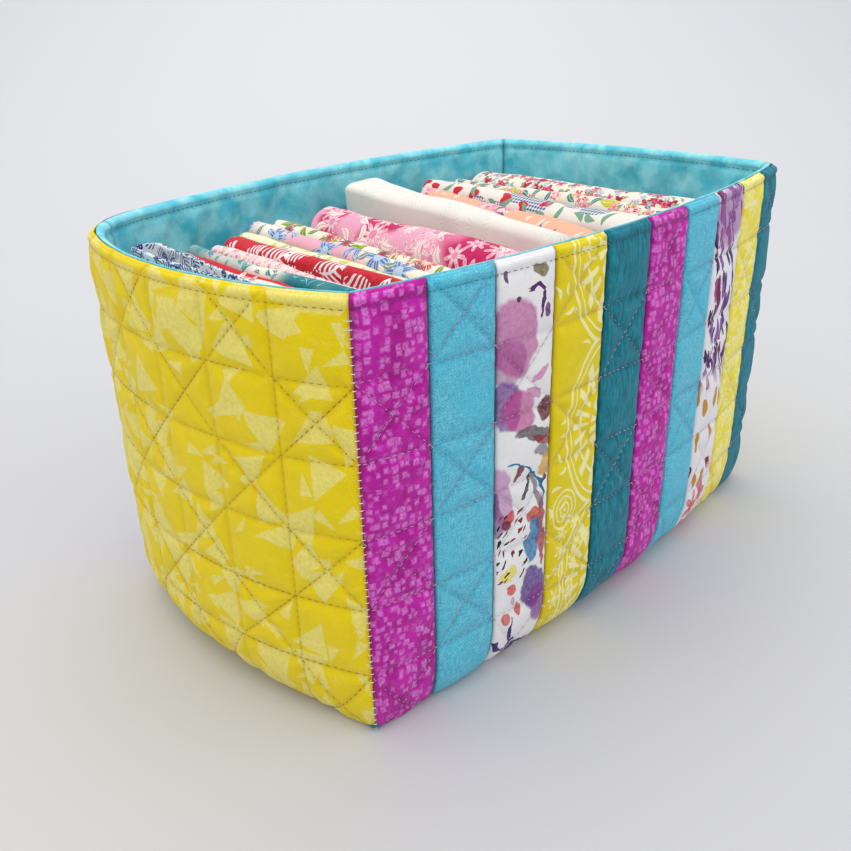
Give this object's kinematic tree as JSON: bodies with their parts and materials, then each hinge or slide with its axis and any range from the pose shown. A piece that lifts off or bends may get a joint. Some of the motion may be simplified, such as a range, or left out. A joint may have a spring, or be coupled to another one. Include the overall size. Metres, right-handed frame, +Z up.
{
  "type": "sewing basket",
  "caption": "Quilted patchwork fabric basket with an open top and soft bowed walls, holding folded fabrics that stand on edge and lift out.",
  "frame": {"origin": "middle of the outline box, on the underside", "axes": "+X along the long sides from the near yellow end to the far end, +Y from the patchwork front to the back, +Z up"},
  "size_m": [0.2778, 0.1844, 0.1524],
  "materials": {
    "yellow_shard_print": "matt quilting cotton, strong yellow with pale angular shards",
    "magenta_mottle": "matt quilting cotton, magenta with lighter blocks",
    "aqua_linen": "matt cotton with a linen-look weave",
    "white_splash_print": "matt cotton, white with violet and rust watercolour splashes",
    "yellow_line_floral": "matt cotton, yellow with cream line flowers",
    "teal_brushed": "matt cotton, teal with brushed tones",
    "lemon_bloom": "matt cotton, lemon with faint white blooms",
    "lining_aqua": "matt cotton lining, mottled aqua",
    "wadding": "needled cotton wadding",
    "thread_tan": "cotton sewing thread",
    "thread_pale": "cotton sewing thread",
    "fabric_blue_leaf": "folded matt quilting cotton, blue and white leaf print",
    "fabric_cream_red": "folded matt quilting cotton, cream print with aqua and red",
    "fabric_red": "folded matt quilting cotton, red with orange and white motif",
    "fabric_teal_leaf": "folded matt quilting cotton, pale aqua print running to teal",
    "fabric_pink_small": "folded matt quilting cotton, pale pink small print",
    "fabric_red_leaf": "folded matt quilting cotton, red and white leaf print",
    "fabric_lime_floral": "folded matt quilting cotton, cream and lime floral",
    "fabric_cream_blue": "folded matt quilting cotton, cream with blue flowers",
    "fabric_green_leaf": "folded matt quilting cotton, cream with green leaves and a red flower",
    "fabric_pink_bloom": "folded matt quilting cotton, pink with cream blooms",
    "fabric_plain_cream": "folded matt quilting cotton, plain cream with faint twigs",
    "fabric_peach": "folded matt quilting cotton, peach with magenta flowers",
    "fabric_gingham_hearts": "folded matt quilting cotton, pale with navy gingham and red hearts",
    "fabric_patch_print": "folded matt quilting cotton, pale print with mustard, teal and pink",
    "fabric_red_bows": "folded matt quilting cotton, cream floral with red bows"
  },
  "bodies": {
    "basket": {"back_lining": "lining_aqua", "back_quilting": "thread_pale", "back_strip_01": "magenta_mottle", "back_strip_02": "aqua_linen", "back_strip_03": "white_splash_print", "back_strip_04": "yellow_line_floral", "back_strip_05": "teal_brushed", "back_strip_06": "magenta_mottle", "back_strip_07": "aqua_linen", "back_strip_08": "white_splash_print", "back_strip_09": "lemon_bloom", "back_strip_10": "teal_brushed", "back_wadding": "wadding", "base_lining": "lining_aqua", "base_panel": "teal_brushed", "base_wadding": "wadding", "corner_stitches": "thread_pale", "far_end_lining": "lining_aqua", "far_end_panel": "yellow_shard_print", "far_end_quilting": "thread_tan", "far_end_wadding": "wadding", "front_lining": "lining_aqua", "front_quilting": "thread_pale", "front_strip_01": "magenta_mottle", "front_strip_02": "aqua_linen", "front_strip_03": "white_splash_print", "front_strip_04": "yellow_line_floral", "front_strip_05": "teal_brushed", "front_strip_06": "magenta_mottle", "front_strip_07": "aqua_linen", "front_strip_08": "white_splash_print", "front_strip_09": "lemon_bloom", "front_strip_10": "teal_brushed", "front_wadding": "wadding", "near_end_lining": "lining_aqua", "near_end_panel": "yellow_shard_print", "near_end_quilting": "thread_tan", "near_end_wadding": "wadding", "rim_topstitch": "thread_tan"},
    "fabric_01": {"fabric_01": "fabric_blue_leaf"},
    "fabric_02": {"fabric_02": "fabric_cream_red"},
    "fabric_03": {"fabric_03": "fabric_red"},
    "fabric_04": {"fabric_04": "fabric_teal_leaf"},
    "fabric_05": {"fabric_05": "fabric_pink_small"},
    "fabric_06": {"fabric_06": "fabric_red_leaf"},
    "fabric_07": {"fabric_07": "fabric_lime_floral"},
    "fabric_08": {"fabric_08": "fabric_cream_blue"},
    "fabric_09": {"fabric_09": "fabric_green_leaf"},
    "fabric_10": {"fabric_10": "fabric_pink_bloom"},
    "fabric_11": {"fabric_11": "fabric_plain_cream"},
    "fabric_12": {"fabric_12": "fabric_peach"},
    "fabric_13": {"fabric_13": "fabric_gingham_hearts"},
    "fabric_14": {"fabric_14": "fabric_patch_print"},
    "fabric_15": {"fabric_15": "fabric_red_bows"}
  },
  "joints": [
    {"name": "fabric_01_lift", "type": "slide", "parent": "basket", "child": "fabric_01", "axis": [0, 0, 1], "range_m": [0, 0.15]},
    {"name": "fabric_02_lift", "type": "slide", "parent": "basket", "child": "fabric_02", "axis": [0, 0, 1], "range_m": [0, 0.15]},
    {"name": "fabric_03_lift", "type": "slide", "parent": "basket", "child": "fabric_03", "axis": [0, 0, 1], "range_m": [0, 0.15]},
    {"name": "fabric_04_lift", "type": "slide", "parent": "basket", "child": "fabric_04", "axis": [0, 0, 1], "range_m": [0, 0.15]},
    {"name": "fabric_05_lift", "type": "slide", "parent": "basket", "child": "fabric_05", "axis": [0, 0, 1], "range_m": [0, 0.15]},
    {"name": "fabric_06_lift", "type": "slide", "parent": "basket", "child": "fabric_06", "axis": [0, 0, 1], "range_m": [0, 0.15]},
    {"name": "fabric_07_lift", "type": "slide", "parent": "basket", "child": "fabric_07", "axis": [0, 0, 1], "range_m": [0, 0.15]},
    {"name": "fabric_08_lift", "type": "slide", "parent": "basket", "child": "fabric_08", "axis": [0, 0, 1], "range_m": [0, 0.15]},
    {"name": "fabric_09_lift", "type": "slide", "parent": "basket", "child": "fabric_09", "axis": [0, 0, 1], "range_m": [0, 0.15]},
    {"name": "fabric_10_lift", "type": "slide", "parent": "basket", "child": "fabric_10", "axis": [0, 0, 1], "range_m": [0, 0.15]},
    {"name": "fabric_11_lift", "type": "slide", "parent": "basket", "child": "fabric_11", "axis": [0, 0, 1], "range_m": [0, 0.15]},
    {"name": "fabric_12_lift", "type": "slide", "parent": "basket", "child": "fabric_12", "axis": [0, 0, 1], "range_m": [0, 0.15]},
    {"name": "fabric_13_lift", "type": "slide", "parent": "basket", "child": "fabric_13", "axis": [0, 0, 1], "range_m": [0, 0.15]},
    {"name": "fabric_14_lift", "type": "slide", "parent": "basket", "child": "fabric_14", "axis": [0, 0, 1], "range_m": [0, 0.15]},
    {"name": "fabric_15_lift", "type": "slide", "parent": "basket", "child": "fabric_15", "axis": [0, 0, 1], "range_m": [0, 0.15]}
  ]
}
